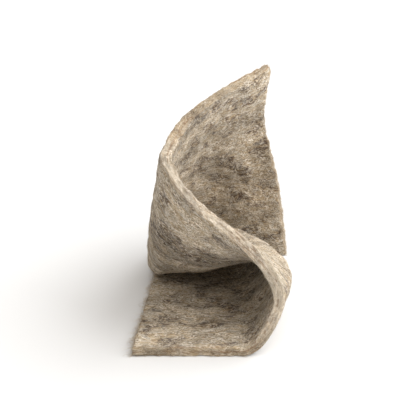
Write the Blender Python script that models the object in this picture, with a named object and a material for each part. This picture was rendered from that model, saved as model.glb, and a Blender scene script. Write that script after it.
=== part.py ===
"""A strip of thick wool felt, curled in an S: one end lies flat, the other stands upright.

The strip is one cut piece. From its flat end it rolls up and back over itself in a tapering
first curl, crosses to the other side as a slope, and wraps round a second curl that turns it
upright. Its middle surface runs through the sections of FOLD, and gets its thickness from a
Solidify modifier. The table is in millimetres, and the scene is in metres with +Z up.
"""

from typing import NamedTuple

import bmesh
import bpy
import numpy as np

MM = 0.001

# Driving sizes of the strip, in mm
THICKNESS = 5.0
END_HOLLOW = 5.6  # how far the cut at the standing end is drawn in, below its tip
END_HOLLOW_PLACE = 0.25  # where it is drawn in most, as a share of the width from the tip

# Mesh density: steps along the strip and across it
STEPS_ALONG = 96
STEPS_ACROSS = 20

# The box round the solid has its middle here in the table's own x and y, in mm
BOX_MIDDLE = (4.38, 56.87)

FELT_COLOUR = (0.42, 0.37, 0.31, 1.0)
FELT_ROUGHNESS = 0.95


class Section(NamedTuple):
    """One line across the strip: its front edge, its middle and its back edge, as x, y, z."""

    place: str
    front: tuple
    middle: tuple
    back: tuple


FOLD = (
    Section("flat end", (-34, 0, 2.5), (-29, 51, 2.5), (-24, 102, 2.5)),
    Section("end of the flat panel", (14, 0, 2.5), (11, 51, 2.5), (6, 102, 2.5)),
    Section("first curl lifts", (23, 0, 7), (21, 50, 5.5), (13, 101, 4.5)),
    Section("first curl, side", (30, 0, 21.5), (30, 49, 16), (17, 100, 9)),
    Section("first curl, widest", (31.5, 0, 30.5), (35.2, 48, 22.3), (16, 98, 13.5)),
    Section("first curl, shoulder", (28, 1, 40.5), (30.5, 46, 26.3), (12, 95, 15)),
    Section("first curl, top", (19.5, 3, 51.5), (21.5, 45, 28.8), (5, 91, 15)),
    Section("slope starts", (8.5, 5, 61.5), (6, 42, 26), (-3, 86, 12)),
    Section("slope, middle", (-2, 7, 70), (-9, 42, 25.5), (-12, 80, 9.5)),
    Section("slope ends", (-11, 9, 79.5), (-18, 42, 28), (-20, 75, 8)),
    Section("second curl starts", (-16.4, 11, 88), (-23.8, 42, 33), (-26, 71, 7.5)),
    Section("second curl, outermost", (-17.8, 13.2, 91), (-25.6, 47, 37), (-28, 74, 7.5)),
    Section("second curl, behind", (-17.4, 20, 93), (-25.1, 60, 41), (-27, 86, 7)),
    Section("upright panel starts", (-13, 44.5, 93.5), (-17, 83, 46), (-17, 105, 5.7)),
    Section("upright panel", (-3, 66.5, 96.5), (0, 99, 50), (3, 112, 1.5)),
    Section("upright panel, far part", (12.5, 87.5, 100), (17, 104, 51), (21, 107, 0.5)),
    Section("upright panel, last part", (22.5, 98.5, 102.3), (27, 105, 51.5), (33, 102.3, 0.4)),
    Section("standing end", (29.8, 107.6, 103.8), (36, 104.5, 52), (42.2, 100, 0.4)),
)


def fold_table():
    """FOLD as an array: section, then front, middle or back, then x, y or z."""
    return np.array([[s.front, s.middle, s.back] for s in FOLD], dtype=float)


def section_marks(table):
    """Each section's mark along the strip: the mean distance travelled to it, in mm."""
    steps = np.linalg.norm(np.diff(table, axis=0), axis=-1).mean(axis=1)
    return np.concatenate([[0.0], np.cumsum(steps)])


def spline_slopes(marks, values, first_slope):
    """Slopes at the marks of a cubic spline: a given first slope, and no bend at the last mark."""
    count = len(marks)
    gaps = np.diff(marks)
    chords = np.diff(values, axis=0) / gaps[:, None, None]
    matrix = np.zeros((count, count))
    right = np.zeros_like(values)
    matrix[0, 0] = 1.0
    right[0] = first_slope
    for i in range(1, count - 1):
        matrix[i, i - 1] = gaps[i]
        matrix[i, i] = 2.0 * (gaps[i - 1] + gaps[i])
        matrix[i, i + 1] = gaps[i - 1]
        right[i] = 3.0 * (gaps[i] * chords[i - 1] + gaps[i - 1] * chords[i])
    matrix[-1, -2] = 1.0
    matrix[-1, -1] = 2.0
    right[-1] = 3.0 * chords[-1]
    return np.linalg.solve(matrix, right.reshape(count, -1)).reshape(values.shape)


def section_at(mark, table, marks, slopes):
    """The front, middle and back points at a mark: straight on the flat panel, then the spline."""
    if mark <= marks[1]:
        share = mark / marks[1]
        return table[0] * (1 - share) + table[1] * share
    i = min(int(np.searchsorted(marks, mark)) - 1, len(marks) - 2)
    gap = marks[i + 1] - marks[i]
    s = (mark - marks[i]) / gap
    a = slopes[i - 1] * gap
    b = slopes[i] * gap
    rise = s * s * (3 - 2 * s)
    return (
        table[i] * (1 - rise)
        + table[i + 1] * rise
        + a * s * (1 - s) ** 2
        - b * s * s * (1 - s)
    )


def across(points, t):
    """The parabola through a section's front, middle and back points, at share t of the width."""
    front, middle, back = points
    return front * (2 * t - 1) * (t - 1) + middle * 4 * t * (1 - t) + back * t * (2 * t - 1)


def end_hollow(t):
    """How much shorter the strip is at share t of its width, in mm."""
    rise = (t / END_HOLLOW_PLACE) ** 2
    fall = ((1 - t) / (1 - END_HOLLOW_PLACE)) ** 6
    return END_HOLLOW * rise * fall


def middle_surface():
    """The strip's middle surface as a grid of points: steps along, then steps across."""
    table = fold_table()
    marks = section_marks(table)
    first_slope = (table[1] - table[0]) / marks[1]
    slopes = spline_slopes(marks[1:], table[1:], first_slope)
    grid = np.empty((STEPS_ALONG + 1, STEPS_ACROSS + 1, 3))
    for j in range(STEPS_ACROSS + 1):
        t = j / STEPS_ACROSS
        length = marks[-1] - end_hollow(t)
        for i in range(STEPS_ALONG + 1):
            grid[i, j] = across(section_at(length * i / STEPS_ALONG, table, marks, slopes), t)
    grid[..., 0] -= BOX_MIDDLE[0]
    grid[..., 1] -= BOX_MIDDLE[1]
    return grid * MM


def felt_material():
    """Matt natural grey wool."""
    material = bpy.data.materials.new("wool_felt")
    material.use_nodes = True
    shader = material.node_tree.nodes["Principled BSDF"]
    shader.inputs["Base Color"].default_value = FELT_COLOUR
    shader.inputs["Roughness"].default_value = FELT_ROUGHNESS
    shader.inputs["Metallic"].default_value = 0.0
    return material


def felt_strip():
    """The whole strip: its middle surface as quads, thickened evenly to both sides."""
    grid = middle_surface()
    mesh = bpy.data.meshes.new("felt_strip")
    work = bmesh.new()
    rows = [[work.verts.new(point) for point in row] for row in grid]
    for i in range(STEPS_ALONG):
        for j in range(STEPS_ACROSS):
            work.faces.new((rows[i][j], rows[i + 1][j], rows[i + 1][j + 1], rows[i][j + 1]))
    work.to_mesh(mesh)
    work.free()
    mesh.shade_smooth()
    mesh.materials.append(felt_material())
    strip = bpy.data.objects.new("felt_strip", mesh)
    bpy.context.scene.collection.objects.link(strip)
    solid = strip.modifiers.new("thickness", "SOLIDIFY")
    solid.thickness = THICKNESS * MM
    solid.offset = 0.0
    solid.use_even_offset = True
    return strip


def main():
    for old in list(bpy.data.objects):
        bpy.data.objects.remove(old, do_unlink=True)
    felt_strip()


main()
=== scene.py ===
"""The looks of a thick wool felt strip, rolled in an S: rough edges, heathered wool, loose fibres.

The strip follows the same sections as its CAD solid, in millimetres on the table, and adds the
unevenness of hand-cut felt. Thousands of short fibres lie on its faces and stand off its edges.
"""

import math
from typing import NamedTuple

import bpy
import numpy as np
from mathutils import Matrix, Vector


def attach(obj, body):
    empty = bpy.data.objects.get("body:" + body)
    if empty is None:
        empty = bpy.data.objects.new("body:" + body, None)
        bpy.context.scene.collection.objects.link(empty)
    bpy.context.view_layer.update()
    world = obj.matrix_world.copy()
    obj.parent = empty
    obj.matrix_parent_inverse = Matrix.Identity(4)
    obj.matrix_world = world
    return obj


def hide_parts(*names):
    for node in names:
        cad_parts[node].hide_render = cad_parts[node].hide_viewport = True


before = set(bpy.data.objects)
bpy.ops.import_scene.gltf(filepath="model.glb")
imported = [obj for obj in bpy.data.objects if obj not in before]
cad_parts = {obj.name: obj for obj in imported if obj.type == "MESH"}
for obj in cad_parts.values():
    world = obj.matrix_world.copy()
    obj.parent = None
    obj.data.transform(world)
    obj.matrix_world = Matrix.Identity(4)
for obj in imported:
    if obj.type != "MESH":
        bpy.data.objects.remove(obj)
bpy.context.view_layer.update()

NODE = "felt_strip"
SEED = 20

MM = 0.001

# The strip, in mm
THICKNESS = 5.0
FLAT_WIDTH = 102.0
FLAT_LENGTH = 245.0
EDGE_ROUNDING = 0.7
END_HOLLOW = 5.6  # how far the cut at the standing end is drawn in, below its tip
END_HOLLOW_PLACE = 0.25  # where it is drawn in most, as a share of the width from the tip

# The box round the CAD solid has its middle here in the table's own x and y, in mm
BOX_MIDDLE = (4.38, 56.87)

# Mesh density
STEPS_ALONG = 340
STEPS_ACROSS = 112
ARC_STEPS = 4  # steps of the rounding between a face and a cut edge
CUT_STEPS = 8  # steps over the flat of a cut edge

# The curled part of the strip, where the cut edge is painted pale as a highlight of the light on
# the rim, along its length in mm
CURLS_FROM = 55.0
CURLS_TO = 160.0
FADE_BEFORE = 15.0
FADE_AFTER = 10.0

# Fibres: how many lie on the faces and how many stand off the cut edges, in equal pieces
FACE_FIBRES = 12200
EDGE_FIBRES = 6400
FIBRE_PIECES = 3
FIBRE_STEPS = 5
FIBRE_SIDES = 3

# Fibre sizes, in mm
FIBRE_RADIUS = 0.036
FACE_FIBRE_LENGTHS = (1.8, 6.0)
EDGE_FIBRE_LENGTHS = (1.0, 3.2)
LOOSE_END_LIFTS = (0.2, 0.9)
EDGE_REACHES = (0.05, 1.5)
SUNK = 0.03  # how deep the ends of a face fibre lie in the felt
EDGE_SUNK = 0.08  # the same for an edge fibre
FLAT_END_MOST = 4.0  # the farthest that a fibre stands off the flat end
EDGE_MOST = 1.5  # the same for the other edges

# Fibre shares
LOOSE_END_SHARE = 0.25  # of the face fibres, those with one end up
END_SHARE = 0.28  # of the long edges' fibres, those that go to the two ends instead
FLAT_END_FUZZ = 2.7  # how many times as far fibres reach off the flat end

# Which part of the noise the dark patches show
PATCH_SHIFT = (17.7, 2.3, 7.9)

# How strongly a cloud works on the dark patches and on the tone; on the slope the darker tone is
# painted shade
CLOUD_ON_PATCHES = 0.17
CLOUD_ON_TONE = -0.25

# Wool colours
CREAM = (0.78, 0.70, 0.59)
GREY = (0.44, 0.42, 0.37)
BEIGE = (0.50, 0.415, 0.30)
TAUPE = (0.235, 0.178, 0.113)
UMBER = (0.13, 0.083, 0.05)
DARK = (0.075, 0.045, 0.033)
TAN = (0.50, 0.36, 0.20)
# The cut edge's painted highlight on the curls
EDGE_HIGHLIGHT_CREAM = (0.86, 0.76, 0.62)
EDGE_TAN = (0.35, 0.265, 0.165)
EDGE_BROWN = (0.22, 0.13, 0.07)
SHEEN_TINT = (0.9, 0.86, 0.78)
FIBRE_COLOURS = ((0.0, DARK), (0.18, TAUPE), (0.35, TAN), (0.55, BEIGE), (1.0, CREAM))

# The table top: its half width in metres, and its grey
TABLE_REACH = 4.0
TABLE_GREY = 0.69

# The two sun lamps: the direction they shine from, and their softness in degrees
KEY_SOURCE = (0.88, 0.12, 0.76)
KEY_SOFTNESS = 66.0
KEY_STRENGTH = 3.3
KEY_COLOUR = (0.965, 0.98, 1.0)
OVERHEAD_SOURCE = (0.20, -0.45, 1.0)
OVERHEAD_SOFTNESS = 60.0
OVERHEAD_STRENGTH = 2.3
OVERHEAD_COLOUR = (1.0, 0.99, 0.97)

# The light of the white studio all round
STUDIO_COLOUR = (1.0, 0.93, 0.85)
STUDIO_STRENGTH = 0.385

# Camera, in the table's millimetres and in degrees
CAMERA_PLACE = (0.0, -383.4, 253.2)
CAMERA_PITCH = 25.0
CAMERA_LENS = 86.5
CAMERA_SENSOR = 36.0


class Section(NamedTuple):
    """One line across the strip: its front edge, its middle and its back edge, as x, y, z."""

    place: str
    front: tuple
    middle: tuple
    back: tuple


# The front edges were traced in the photograph, turned into mm by a scratch program at depths
# chosen by hand, and rounded. The middles and back edges were chosen.
FOLD = (
    Section("flat end", (-34, 0, 2.5), (-29, 51, 2.5), (-24, 102, 2.5)),
    Section("end of the flat panel", (14, 0, 2.5), (11, 51, 2.5), (6, 102, 2.5)),
    Section("first curl lifts", (23, 0, 7), (21, 50, 5.5), (13, 101, 4.5)),
    Section("first curl, side", (30, 0, 21.5), (30, 49, 16), (17, 100, 9)),
    Section("first curl, widest", (31.5, 0, 30.5), (35.2, 48, 22.3), (16, 98, 13.5)),
    Section("first curl, shoulder", (28, 1, 40.5), (30.5, 46, 26.3), (12, 95, 15)),
    Section("first curl, top", (19.5, 3, 51.5), (21.5, 45, 28.8), (5, 91, 15)),
    Section("slope starts", (8.5, 5, 61.5), (6, 42, 26), (-3, 86, 12)),
    Section("slope, middle", (-2, 7, 70), (-9, 42, 25.5), (-12, 80, 9.5)),
    Section("slope ends", (-11, 9, 79.5), (-18, 42, 28), (-20, 75, 8)),
    Section("second curl starts", (-16.4, 11, 88), (-23.8, 42, 33), (-26, 71, 7.5)),
    Section("second curl, outermost", (-17.8, 13.2, 91), (-25.6, 47, 37), (-28, 74, 7.5)),
    Section("second curl, behind", (-17.4, 20, 93), (-25.1, 60, 41), (-27, 86, 7)),
    Section("upright panel starts", (-13, 44.5, 93.5), (-17, 83, 46), (-17, 105, 5.7)),
    Section("upright panel", (-3, 66.5, 96.5), (0, 99, 50), (3, 112, 1.5)),
    Section("upright panel, far part", (12.5, 87.5, 100), (17, 104, 51), (21, 107, 0.5)),
    Section("upright panel, last part", (22.5, 98.5, 102.3), (27, 105, 51.5), (33, 102.3, 0.4)),
    Section("standing end", (29.8, 107.6, 103.8), (36, 104.5, 52), (42.2, 100, 0.4)),
)


class Cloud(NamedTuple):
    """A darker or paler cloud on the strip, in mm on the flat strip; darkness is from -1 to 1.
    Some are the wool's own patches; the dark ones on the slope also paint the shade on its lower
    part.
    """

    face: str
    along: float
    across: float
    length: float
    width: float
    darkness: float


# The main patches. A scratch program found most of their places on the strip from the photograph,
# and their sizes and darkness were chosen by hand.
# Painted shade: the dark clouds on the slope, along 108 to 132, darken it where shade falls on its
# lower part.
WOOL_PATCHES_AND_PAINTED_SHADE = (
    Cloud("upper", 30, 14, 16, 5, -0.35),
    Cloud("upper", 33, 40, 25, 10, 0.25),
    Cloud("upper", 108, 36, 26, 8, 1.0),
    Cloud("upper", 113, 25, 6, 3.5, 1.0),
    Cloud("upper", 122, 6, 16, 5, -0.4),
    Cloud("upper", 132, 27, 7, 5, 0.9),
    Cloud("upper", 124, 34, 16, 7, 0.45),
    Cloud("lower", 75, 30, 25, 25, -0.25),
    Cloud("lower", 178, 6, 14, 8, 0.35),
    Cloud("lower", 225, 6, 22, 8, 0.1),
    Cloud("lower", 212, 50, 12, 9, 0.45),
    Cloud("lower", 225, 54, 4, 3, 0.6),
    Cloud("lower", 230, 30, 8, 4, -0.3),
    Cloud("lower", 235, 94, 5, 4, 0.8),
    Cloud("lower", 240, 42, 6, 4, 0.5),
)


def patch_and_shade_darkness_at(along, across, height):
    """How much darker the clouds make each place in the strip: the wool's own patches, and painted
    shade on the slope.
    """
    total = np.zeros_like(along)
    for cloud in WOOL_PATCHES_AND_PAINTED_SHADE:
        side = 1.0 if cloud.face == "upper" else -1.0
        on_face = np.clip(0.5 + side * height / THICKNESS, 0.0, 1.0)
        far = ((along - cloud.along) / cloud.length) ** 2
        far += ((across - cloud.across) / cloud.width) ** 2
        total += cloud.darkness * on_face * np.exp(-far)
    return total


def from_table(x, y, z):
    """A place on the table, in mm, as a place in the frame, in metres."""
    return Vector((x - BOX_MIDDLE[0], y - BOX_MIDDLE[1], z)) * MM


class Fold:
    """The strip's middle surface, which goes through every section of FOLD."""

    def __init__(self):
        self.table = np.array([[s.front, s.middle, s.back] for s in FOLD], dtype=float)
        steps = np.linalg.norm(np.diff(self.table, axis=0), axis=-1).mean(axis=1)
        self.marks = np.concatenate([[0.0], np.cumsum(steps)])
        self.length = self.marks[-1]
        self.slopes = self.spline_slopes()

    def spline_slopes(self):
        """Slopes of a cubic spline at the marks: straight on the flat panel, unbent at the end."""
        first = (self.table[1] - self.table[0]) / self.marks[1]
        marks = self.marks[1:]
        values = self.table[1:]
        count = len(marks)
        gaps = np.diff(marks)
        chords = np.diff(values, axis=0) / gaps[:, None, None]
        matrix = np.zeros((count, count))
        right = np.zeros_like(values)
        matrix[0, 0] = 1.0
        right[0] = first
        for i in range(1, count - 1):
            matrix[i, i - 1] = gaps[i]
            matrix[i, i] = 2.0 * (gaps[i - 1] + gaps[i])
            matrix[i, i + 1] = gaps[i - 1]
            right[i] = 3.0 * (gaps[i] * chords[i - 1] + gaps[i - 1] * chords[i])
        matrix[-1, -2] = 1.0
        matrix[-1, -1] = 2.0
        right[-1] = 3.0 * chords[-1]
        solved = np.linalg.solve(matrix, right.reshape(count, -1)).reshape(values.shape)
        return np.concatenate([[first], solved])

    def middle(self, along, across):
        """Points, in mm on the table, at distances along and across the flat strip, in mm."""
        t = across / FLAT_WIDTH
        rise = (np.clip(t, 0, 1) / END_HOLLOW_PLACE) ** 2
        fall = ((1 - np.clip(t, 0, 1)) / (1 - END_HOLLOW_PLACE)) ** 6
        mark = along / FLAT_LENGTH * (self.length - END_HOLLOW * rise * fall)
        i = np.clip(np.searchsorted(self.marks, mark) - 1, 0, len(self.marks) - 2)
        gap = self.marks[i + 1] - self.marks[i]
        s = ((mark - self.marks[i]) / gap)[:, None, None]
        gap = gap[:, None, None]
        points = (
            self.table[i] * (1 + 2 * s) * (1 - s) ** 2
            + self.table[i + 1] * s * s * (3 - 2 * s)
            + self.slopes[i] * gap * s * (1 - s) ** 2
            - self.slopes[i + 1] * gap * s * s * (1 - s)
        )
        t = t[:, None]
        return (
            points[:, 0] * (2 * t - 1) * (t - 1)
            + points[:, 1] * 4 * t * (1 - t)
            + points[:, 2] * t * (2 * t - 1)
        )

    def solid(self, along, across, height):
        """Points at a height above the middle surface, in metres in the frame."""
        step = 0.2
        here = self.middle(along, across)
        ahead = self.middle(along + step, across) - self.middle(along - step, across)
        aside = self.middle(along, across + step) - self.middle(along, across - step)
        up = np.cross(ahead, aside)
        up /= np.linalg.norm(up, axis=1, keepdims=True)
        points = here + up * height[:, None]
        points[:, 0] -= BOX_MIDDLE[0]
        points[:, 1] -= BOX_MIDDLE[1]
        points[:, 2] = np.maximum(points[:, 2], 0.0)
        return points * MM


class Waves:
    """Smooth random unevenness, about 1 in size: many waves of about one length, in mm."""

    def __init__(self, rng, length, count=40, stretch=1.0):
        turns = rng.normal(size=(count, 3))
        turns /= np.linalg.norm(turns, axis=1, keepdims=True)
        self.turns = turns * (2 * np.pi / length) * rng.uniform(0.7, 1.4, (count, 1))
        self.turns[:, 0] /= stretch
        self.starts = rng.uniform(0, 2 * np.pi, count)
        self.size = math.sqrt(2.0 / count)

    def at(self, along, across, height):
        """The unevenness at places in the flat strip, in mm."""
        places = np.stack([along, across, height], axis=1)
        return np.sin(places @ self.turns.T + self.starts).sum(axis=1) * self.size


class Unevenness:
    """How far the felt's faces and cut edges stand off their smooth shape, in mm."""

    def __init__(self, rng):
        self.lumps = Waves(rng, 17.0)
        self.dimples = Waves(rng, 5.5, stretch=1.6)
        self.grain = Waves(rng, 2.4, stretch=1.8)
        self.nibbles = Waves(rng, 6.0)
        self.bites = Waves(rng, 2.6)
        self.layers = Waves(rng, 1.7, stretch=12.0)

    def of_face(self, along, across, height):
        """Outwards on the faces."""
        return (
            0.14 * self.lumps.at(along, across, height)
            + 0.16 * self.dimples.at(along, across, height)
            + 0.09 * self.grain.at(along, across, height)
        )

    def of_edge(self, along, across, height):
        """Outwards on the cut edges."""
        return (
            0.20
            + 0.20 * self.nibbles.at(along, across, height)
            + 0.16 * self.bites.at(along, across, height)
            + 0.07 * self.layers.at(along, across, height)
        )


def edge_profile():
    """The rounding and the flat of a cut edge, from the upper face down: out, height, in mm."""
    half = THICKNESS / 2
    flat = half - EDGE_ROUNDING
    arc = [
        (
            EDGE_ROUNDING * math.sin(math.pi / 2 * k / ARC_STEPS),
            flat + EDGE_ROUNDING * math.cos(math.pi / 2 * k / ARC_STEPS),
        )
        for k in range(1, ARC_STEPS + 1)
    ]
    middle = [(EDGE_ROUNDING, flat * (1 - 2 * k / CUT_STEPS)) for k in range(1, CUT_STEPS)]
    return arc + middle + [(out, -height) for out, height in reversed(arc)]


def strip_mesh(fold, rough):
    """The strip's mesh: two faces as grids, and a rounded cut edge all the way round them."""
    rows = STEPS_ALONG + 1
    columns = STEPS_ACROSS + 1
    inner_along = np.linspace(EDGE_ROUNDING, FLAT_LENGTH - EDGE_ROUNDING, rows)
    inner_across = np.linspace(EDGE_ROUNDING, FLAT_WIDTH - EDGE_ROUNDING, columns)
    along, across = (g.ravel() for g in np.meshgrid(inner_along, inner_across, indexing="ij"))
    index = np.arange(rows * columns).reshape(rows, columns)
    rim = np.concatenate([index[:-1, 0], index[-1, :-1], index[:0:-1, -1], index[0, :0:-1]])
    out_along = np.where(along[rim] == inner_along[0], -1.0, 0.0)
    out_along += np.where(along[rim] == inner_along[-1], 1.0, 0.0)
    out_across = np.where(across[rim] == inner_across[0], -1.0, 0.0)
    out_across += np.where(across[rim] == inner_across[-1], 1.0, 0.0)

    half = np.full(len(along), THICKNESS / 2)
    rings = [(along, across, half, np.zeros_like(half))]
    for out, height in edge_profile():
        ring_along = along[rim] + out * out_along
        ring_across = across[rim] + out * out_across
        ring_height = np.full(len(rim), height)
        share = out / EDGE_ROUNDING
        off = share * rough.of_edge(ring_along, ring_across, ring_height)
        rings.append(
            (
                ring_along + off * out_along,
                ring_across + off * out_across,
                ring_height,
                np.full(len(rim), share),
            )
        )
    rings.append((along, across, -half, np.zeros_like(half)))
    flat_along, flat_across, flat_height, cut = (np.concatenate(c) for c in zip(*rings))
    face = rough.of_face(flat_along, flat_across, flat_height)
    full_height = flat_height + (1 - 0.6 * cut) * face * np.sign(flat_height)
    points = fold.solid(flat_along, flat_across, full_height)

    low = len(points) - len(along)
    quads = []
    a, b = index[:-1, :-1].ravel(), index[1:, :-1].ravel()
    c, d = index[1:, 1:].ravel(), index[:-1, 1:].ravel()
    quads.append(np.stack([a, b, c, d], axis=1))
    quads.append(np.stack([d, c, b, a], axis=1) + low)
    ring_count = len(edge_profile())
    loops = [rim] + [len(along) + k * len(rim) + np.arange(len(rim)) for k in range(ring_count)]
    loops.append(rim + low)
    for upper, lower in zip(loops, loops[1:]):
        quads.append(
            np.stack([upper, lower, np.roll(lower, -1), np.roll(upper, -1)], axis=1)
        )
    mesh = bpy.data.meshes.new("wool_strip")
    mesh.from_pydata(points.tolist(), [], np.concatenate(quads).tolist())
    mesh.shade_smooth()
    add_flat_places(mesh, flat_along, flat_across, flat_height)
    add_number(mesh, "cut_edge", cut)
    add_number(mesh, "darkness", patch_and_shade_darkness_at(flat_along, flat_across, flat_height))
    return mesh


def add_flat_places(mesh, along, across, height):
    """Each vertex's place in the strip laid flat, in mm, so that the wool's colours follow it."""
    places = mesh.attributes.new("flat_place", "FLOAT_VECTOR", "POINT")
    places.data.foreach_set("vector", np.stack([along, across, height], axis=1).ravel())


def add_number(mesh, name, values):
    """One number for each vertex."""
    mesh.attributes.new(name, "FLOAT", "POINT").data.foreach_set("value", values)


def face_fibres(rng, rough):
    """Paths of fibres on the two faces: along, across and height, each fibre a row."""
    count = FACE_FIBRES
    side = rng.choice([-1.0, 1.0], count)
    start_along = rng.uniform(0.5, FLAT_LENGTH - 0.5, count)
    start_across = rng.uniform(0.5, FLAT_WIDTH - 0.5, count)
    length = rng.uniform(*FACE_FIBRE_LENGTHS, count)
    heading = rng.normal(0.0, 0.5, count) + np.pi * rng.integers(0, 2, count)
    turn = rng.normal(0.0, 0.22, (count, 1))
    share = np.linspace(0, 1, FIBRE_STEPS + 1)
    angle = heading[:, None] + turn * np.arange(FIBRE_STEPS + 1)
    step = (length / FIBRE_STEPS)[:, None]
    along = start_along[:, None] + np.cumsum(np.cos(angle) * step, axis=1)
    across = start_across[:, None] + np.cumsum(np.sin(angle) * step, axis=1)
    inside = EDGE_ROUNDING * 0.6
    along = np.clip(along, inside, FLAT_LENGTH - inside)
    across = np.clip(across, inside, FLAT_WIDTH - inside)
    arch = rng.gamma(2.0, 0.10, count)[:, None] * np.sin(np.pi * share)
    is_loose = rng.random(count) < LOOSE_END_SHARE
    loose_end = np.where(is_loose, rng.uniform(*LOOSE_END_LIFTS, count), 0.0)
    lift = arch + loose_end[:, None] * share**2 - SUNK
    level = np.repeat(side, FIBRE_STEPS + 1) * THICKNESS / 2
    face = rough.of_face(along.ravel(), across.ravel(), level)
    height = (THICKNESS / 2 + face.reshape(along.shape) + lift) * side[:, None]
    return along, across, height


def edge_fibres(rng, rough):
    """Paths of fibres that stand off the cut edges, or lie along them."""
    count = EDGE_FIBRES
    around = rng.uniform(0, 2 * (FLAT_LENGTH + FLAT_WIDTH), count)
    on_end = around > 2 * FLAT_LENGTH * (1 - END_SHARE)
    far = rng.choice([0.0, 1.0], count)
    on_width = rng.uniform(0, FLAT_WIDTH, count)
    on_length = rng.uniform(0, FLAT_LENGTH, count)
    place = np.where(on_end, on_width, on_length)
    level = rng.uniform(-0.95, 0.95, count) * THICKNESS / 2
    length = rng.uniform(*EDGE_FIBRE_LENGTHS, count)
    reach = rng.gamma(1.6, 0.24, count).clip(*EDGE_REACHES)
    reach *= np.where(on_end & (far == 0), FLAT_END_FUZZ, 1.0)
    share = np.linspace(0, 1, FIBRE_STEPS + 1)
    sideways = rng.choice([-1.0, 1.0], count) * length
    bend = rng.normal(0, 0.35, count)
    run = place[:, None] + sideways[:, None] * share
    out = reach[:, None] * np.sin(share * rng.uniform(1.2, 3.0, (count, 1))) - EDGE_SUNK
    height = level[:, None] + bend[:, None] * share + rng.normal(0, 0.5, (count, 1)) * share**2
    height = np.clip(height, -THICKNESS / 2, THICKNESS / 2)
    size = np.where(on_end, FLAT_LENGTH, FLAT_WIDTH)[:, None]
    base = np.where(far[:, None] > 0, size, 0.0)
    sign = np.where(far[:, None] > 0, 1.0, -1.0)
    across_edge = base + sign * out
    along = np.where(on_end[:, None], across_edge, run)
    across = np.where(on_end[:, None], run, across_edge)
    off = rough.of_edge(along.ravel(), across.ravel(), height.ravel()).reshape(along.shape)
    along += np.where(on_end[:, None], sign * off, 0.0)
    across += np.where(on_end[:, None], 0.0, sign * off)
    along = np.clip(along, -FLAT_END_MOST, FLAT_LENGTH + EDGE_MOST)
    across = np.clip(across, -EDGE_MOST, FLAT_WIDTH + EDGE_MOST)
    return along, across, height


def fibre_mesh(name, fold, along, across, height, shades):
    """Closed three-sided tubes along the given paths, thinner towards both ends."""
    count, knots = along.shape
    middle = fold.solid(along.ravel(), across.ravel(), height.ravel()).reshape(count, knots, 3)
    ahead = np.gradient(middle, axis=1)
    ahead /= np.linalg.norm(ahead, axis=2, keepdims=True) + 1e-12
    helper = np.where(np.abs(ahead[..., 2:3]) < 0.9, [0.0, 0.0, 1.0], [1.0, 0.0, 0.0])
    one = np.cross(ahead, helper)
    one /= np.linalg.norm(one, axis=2, keepdims=True)
    two = np.cross(ahead, one)
    taper = 0.35 + 0.65 * np.sin(np.pi * np.linspace(0, 1, knots))
    radius = FIBRE_RADIUS * MM * taper[None, :, None]
    angles = 2 * np.pi * np.arange(FIBRE_SIDES) / FIBRE_SIDES
    rings = np.stack(
        [middle + radius * (math.cos(a) * one + math.sin(a) * two) for a in angles], axis=2
    )
    points = rings.reshape(-1, 3)
    points[:, 2] = np.maximum(points[:, 2], 0.0)
    index = np.arange(len(points)).reshape(count, knots, FIBRE_SIDES)
    near, next_side = index, np.roll(index, -1, axis=2)
    walls = np.stack(
        [near[:, :-1], near[:, 1:], next_side[:, 1:], next_side[:, :-1]], axis=-1
    ).reshape(-1, 4)
    starts = index[:, 0, :]
    ends = index[:, -1, ::-1]
    mesh = bpy.data.meshes.new(name)
    mesh.from_pydata(points.tolist(), [], walls.tolist() + starts.tolist() + ends.tolist())
    mesh.shade_smooth()
    add_number(mesh, "wool_shade", np.repeat(shades, knots * FIBRE_SIDES))
    return mesh


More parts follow.
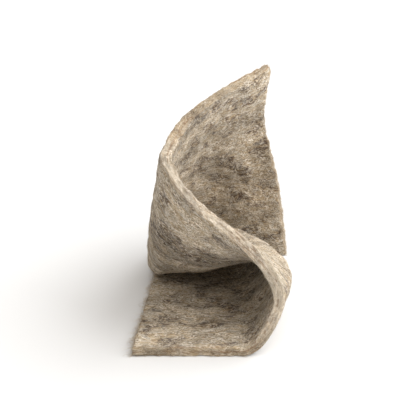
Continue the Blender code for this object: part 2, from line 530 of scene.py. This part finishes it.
class Nodes:
    """Short ways to add and join shader nodes."""

    def __init__(self, name):
        self.material = bpy.data.materials.new(name)
        self.material.use_nodes = True
        self.tree = self.material.node_tree
        self.shader = self.tree.nodes["Principled BSDF"]

    def add(self, kind, **settings):
        node = self.tree.nodes.new(kind)
        for key, value in settings.items():
            setattr(node, key, value)
        return node

    def join(self, source, target):
        self.tree.links.new(source, target)

    def noise(self, vector, scale, detail=2.0, roughness=0.5, shift=(0.0, 0.0, 0.0)):
        """Noise with a scale for each axis, and shifted to show another part of it."""
        scaled = self.add("ShaderNodeVectorMath", operation="MULTIPLY_ADD")
        self.join(vector, scaled.inputs[0])
        scaled.inputs[1].default_value = scale
        scaled.inputs[2].default_value = shift
        node = self.add("ShaderNodeTexNoise")
        self.join(scaled.outputs[0], node.inputs["Vector"])
        node.inputs["Scale"].default_value = 1.0
        node.inputs["Detail"].default_value = detail
        node.inputs["Roughness"].default_value = roughness
        return node

    def between(self, value, low, high, to_low=0.0, to_high=1.0):
        """A value's place between low and high, eased and held at both."""
        node = self.add("ShaderNodeMapRange", interpolation_type="SMOOTHSTEP")
        self.join(value, node.inputs["Value"])
        node.inputs["From Min"].default_value = low
        node.inputs["From Max"].default_value = high
        node.inputs["To Min"].default_value = to_low
        node.inputs["To Max"].default_value = to_high
        return node.outputs["Result"]

    def mixed(self, share, one, two):
        """Colour one where share is 0 and colour two where it is 1."""
        node = self.add("ShaderNodeMix", data_type="RGBA")
        for value, socket in ((share, 0), (one, 6), (two, 7)):
            if isinstance(value, bpy.types.NodeSocket):
                self.join(value, node.inputs[socket])
            elif socket == 0:
                node.inputs[socket].default_value = value
            else:
                node.inputs[socket].default_value = (*value, 1.0)
        return node.outputs[2]

    def product(self, one, two):
        node = self.add("ShaderNodeMath", operation="MULTIPLY")
        for value, socket in ((one, 0), (two, 1)):
            if isinstance(value, bpy.types.NodeSocket):
                self.join(value, node.inputs[socket])
            else:
                node.inputs[socket].default_value = value
        return node.outputs[0]

    def raised(self, value, extra, factor):
        """A value plus another value times a factor."""
        node = self.add("ShaderNodeMath", operation="MULTIPLY_ADD")
        self.join(extra, node.inputs[0])
        node.inputs[1].default_value = factor
        self.join(value, node.inputs[2])
        return node.outputs[0]

    def shaded(self, colour, value):
        """A colour made lighter or darker by a value."""
        node = self.add("ShaderNodeVectorMath", operation="SCALE")
        self.join(colour, node.inputs[0])
        self.join(value, node.inputs["Scale"])
        return node.outputs[0]


def wool_finish(nodes):
    """Matt, slightly fuzzy wool."""
    shader = nodes.shader
    shader.inputs["Roughness"].default_value = 0.95
    shader.inputs["Metallic"].default_value = 0.0
    shader.inputs["Specular IOR Level"].default_value = 0.2
    shader.inputs["Sheen Weight"].default_value = 0.12
    shader.inputs["Sheen Roughness"].default_value = 0.5
    shader.inputs["Sheen Tint"].default_value = (*SHEEN_TINT, 1.0)


def cut_edge_colour(nodes, place, colour):
    """The wool's colour with the cut edges worked in: cream on the curls as a painted highlight
    where the light falls on the rim, tan beyond, layered.
    """
    cut = nodes.add("ShaderNodeAttribute", attribute_name="cut_edge").outputs["Fac"]
    layers = nodes.noise(place, (0.035, 1.0, 1.0), detail=3.0, roughness=0.6).outputs["Fac"]
    split = nodes.add("ShaderNodeSeparateXYZ")
    nodes.join(place, split.inputs[0])
    place_along = split.outputs["X"]
    # Painted highlight: the cut edge turns cream on the curls, where the light falls on the rim,
    # and stays tan elsewhere.
    begun = nodes.between(place_along, CURLS_FROM - FADE_BEFORE, CURLS_FROM + FADE_AFTER)
    going = nodes.between(place_along, CURLS_TO - FADE_BEFORE, CURLS_TO + FADE_AFTER, 1.0, 0.0)
    tint = nodes.mixed(nodes.product(begun, going), EDGE_TAN, EDGE_HIGHLIGHT_CREAM)
    colour = nodes.mixed(nodes.product(cut, 0.45), colour, tint)
    line = nodes.product(cut, nodes.between(layers, 0.50, 0.62, 0.0, 0.6))
    return nodes.mixed(line, colour, EDGE_BROWN)


def felt_material():
    """Heathered wool: streaks along the strip, dark flecks and patches, partly painted shade, and
    its own cut edges, painted pale on the curls as a highlight.
    """
    nodes = Nodes("wool_felt")
    place = nodes.add("ShaderNodeAttribute", attribute_name="flat_place").outputs["Vector"]
    drift = nodes.noise(place, (0.09, 0.09, 0.09), detail=2.0)
    bent = nodes.add("ShaderNodeVectorMath", operation="MULTIPLY_ADD")
    nodes.join(drift.outputs["Color"], bent.inputs[0])
    bent.inputs[1].default_value = (7.0, 7.0, 7.0)
    nodes.join(place, bent.inputs[2])
    flow = bent.outputs[0]

    streaks = nodes.noise(flow, (0.25, 0.9, 0.9), detail=3.0, roughness=0.65).outputs["Fac"]
    fine = nodes.noise(flow, (0.95, 2.3, 2.3), detail=3.0, roughness=0.75).outputs["Fac"]
    tufts = nodes.noise(flow, (0.6, 1.15, 1.15), detail=3.0, roughness=0.7).outputs["Fac"]
    patches = nodes.noise(
        flow, (0.09, 0.15, 0.15), detail=2.0, roughness=0.55, shift=PATCH_SHIFT
    ).outputs["Fac"]
    tone = nodes.noise(flow, (0.05, 0.09, 0.09), detail=2.0).outputs["Fac"]
    # The clouds darken the dark patches and the tone: the wool's own patches, and painted shade on
    # the slope.
    darkness = nodes.add("ShaderNodeAttribute", attribute_name="darkness").outputs["Fac"]
    patches = nodes.raised(patches, darkness, CLOUD_ON_PATCHES)
    tone = nodes.raised(tone, darkness, CLOUD_ON_TONE)
    warm = nodes.noise(flow, (0.2, 0.8, 0.8), detail=3.0, roughness=0.7).outputs["Fac"]

    colour = nodes.mixed(nodes.between(streaks, 0.42, 0.58), BEIGE, CREAM)
    colour = nodes.mixed(nodes.between(fine, 0.485, 0.56), colour, TAUPE)
    flecks = nodes.product(nodes.between(tufts, 0.50, 0.64), nodes.between(fine, 0.42, 0.58))
    colour = nodes.mixed(nodes.product(flecks, 0.85), colour, UMBER)
    dark = nodes.product(nodes.between(patches, 0.50, 0.62), nodes.between(tufts, 0.42, 0.54))
    colour = nodes.mixed(nodes.product(dark, 0.9), colour, DARK)
    colour = nodes.mixed(nodes.product(nodes.between(warm, 0.52, 0.66), 0.5), colour, TAN)
    cool = nodes.between(warm, 0.37, 0.47, 1.0, 0.0)
    colour = nodes.mixed(nodes.product(cool, 0.4), colour, GREY)
    colour = cut_edge_colour(nodes, place, colour)
    colour = nodes.shaded(colour, nodes.between(tone, 0.15, 0.75, 0.53, 1.09))
    nodes.join(colour, nodes.shader.inputs["Base Color"])

    bump = nodes.add("ShaderNodeBump")
    bump.inputs["Strength"].default_value = 0.7
    bump.inputs["Distance"].default_value = 0.00035
    nodes.join(fine, bump.inputs["Height"])
    nodes.join(bump.outputs["Normal"], nodes.shader.inputs["Normal"])
    wool_finish(nodes)
    return nodes.material


def fibre_material():
    """Single wool fibres, from dark through tan to cream."""
    nodes = Nodes("wool_fibres")
    shade = nodes.add("ShaderNodeAttribute", attribute_name="wool_shade").outputs["Fac"]
    ramp = nodes.add("ShaderNodeValToRGB")
    elements = ramp.color_ramp.elements
    while len(elements) < len(FIBRE_COLOURS):
        elements.new(0.5)
    for element, (position, colour) in zip(elements, FIBRE_COLOURS):
        element.position = position
        element.color = (*colour, 1.0)
    nodes.join(shade, ramp.inputs["Fac"])
    nodes.join(ramp.outputs["Color"], nodes.shader.inputs["Base Color"])
    wool_finish(nodes)
    return nodes.material


def add_piece(mesh, material):
    """A piece of the felt, in place of its CAD solid."""
    mesh.materials.append(material)
    piece = bpy.data.objects.new(mesh.name, mesh)
    bpy.context.scene.collection.objects.link(piece)
    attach(piece, "root")
    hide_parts(NODE)
    return piece


def add_felt():
    """The strip and its fibres."""
    rng = np.random.default_rng(SEED)
    fold = Fold()
    rough = Unevenness(rng)
    strip = add_piece(strip_mesh(fold, rough), felt_material())
    paths = [np.concatenate(c) for c in zip(face_fibres(rng, rough), edge_fibres(rng, rough))]
    shades = rng.beta(1.8, 1.2, len(paths[0]))
    order = rng.permutation(len(paths[0]))
    material = fibre_material()
    for k, chosen in enumerate(np.array_split(order, FIBRE_PIECES), start=1):
        name = f"loose_fibres_{k}"
        mesh = fibre_mesh(name, fold, *(p[chosen] for p in paths), shades[chosen])
        add_piece(mesh, material)


def add_floor():
    """A plain white table top."""
    mesh = bpy.data.meshes.new("table_top")
    reach = TABLE_REACH
    corners = [(-reach, -reach, 0), (reach, -reach, 0), (reach, reach, 0), (-reach, reach, 0)]
    mesh.from_pydata(corners, [], [(0, 1, 2, 3)])
    nodes = Nodes("table_white")
    nodes.shader.inputs["Base Color"].default_value = (TABLE_GREY, TABLE_GREY, TABLE_GREY, 1.0)
    nodes.shader.inputs["Roughness"].default_value = 1.0
    nodes.shader.inputs["Specular IOR Level"].default_value = 0.0
    mesh.materials.append(nodes.material)
    floor = bpy.data.objects.new("table_top", mesh)
    bpy.context.scene.collection.objects.link(floor)


def add_sun(name, source, softness, strength, colour):
    """Soft even light from the direction of source, with its softness in degrees."""
    data = bpy.data.lights.new(name, "SUN")
    data.angle = math.radians(softness)
    data.energy = strength
    data.color = colour
    sun = bpy.data.objects.new(name, data)
    bpy.context.scene.collection.objects.link(sun)
    sun.rotation_euler = (-Vector(source)).to_track_quat("-Z", "Y").to_euler()


def add_lights():
    """A soft key from above right, a wide light overhead, and a white studio all round."""
    add_sun("key", KEY_SOURCE, KEY_SOFTNESS, KEY_STRENGTH, KEY_COLOUR)
    add_sun("overhead", OVERHEAD_SOURCE, OVERHEAD_SOFTNESS, OVERHEAD_STRENGTH, OVERHEAD_COLOUR)
    world = bpy.data.worlds.new("white_studio")
    world.use_nodes = True
    sky = world.node_tree.nodes["Background"]
    sky.inputs["Color"].default_value = (*STUDIO_COLOUR, 1.0)
    sky.inputs["Strength"].default_value = STUDIO_STRENGTH
    bpy.context.scene.world = world


def add_camera():
    """In front of the strip, looking down on it a little."""
    data = bpy.data.cameras.new("camera")
    data.lens = CAMERA_LENS
    data.sensor_width = CAMERA_SENSOR
    camera = bpy.data.objects.new("camera", data)
    bpy.context.scene.collection.objects.link(camera)
    camera.location = from_table(*CAMERA_PLACE)
    camera.rotation_euler = (math.radians(90 - CAMERA_PITCH), 0.0, 0.0)
    bpy.context.scene.camera = camera


add_camera()
add_felt()
add_floor()
add_lights()
bpy.context.scene.view_settings.view_transform = "Standard"
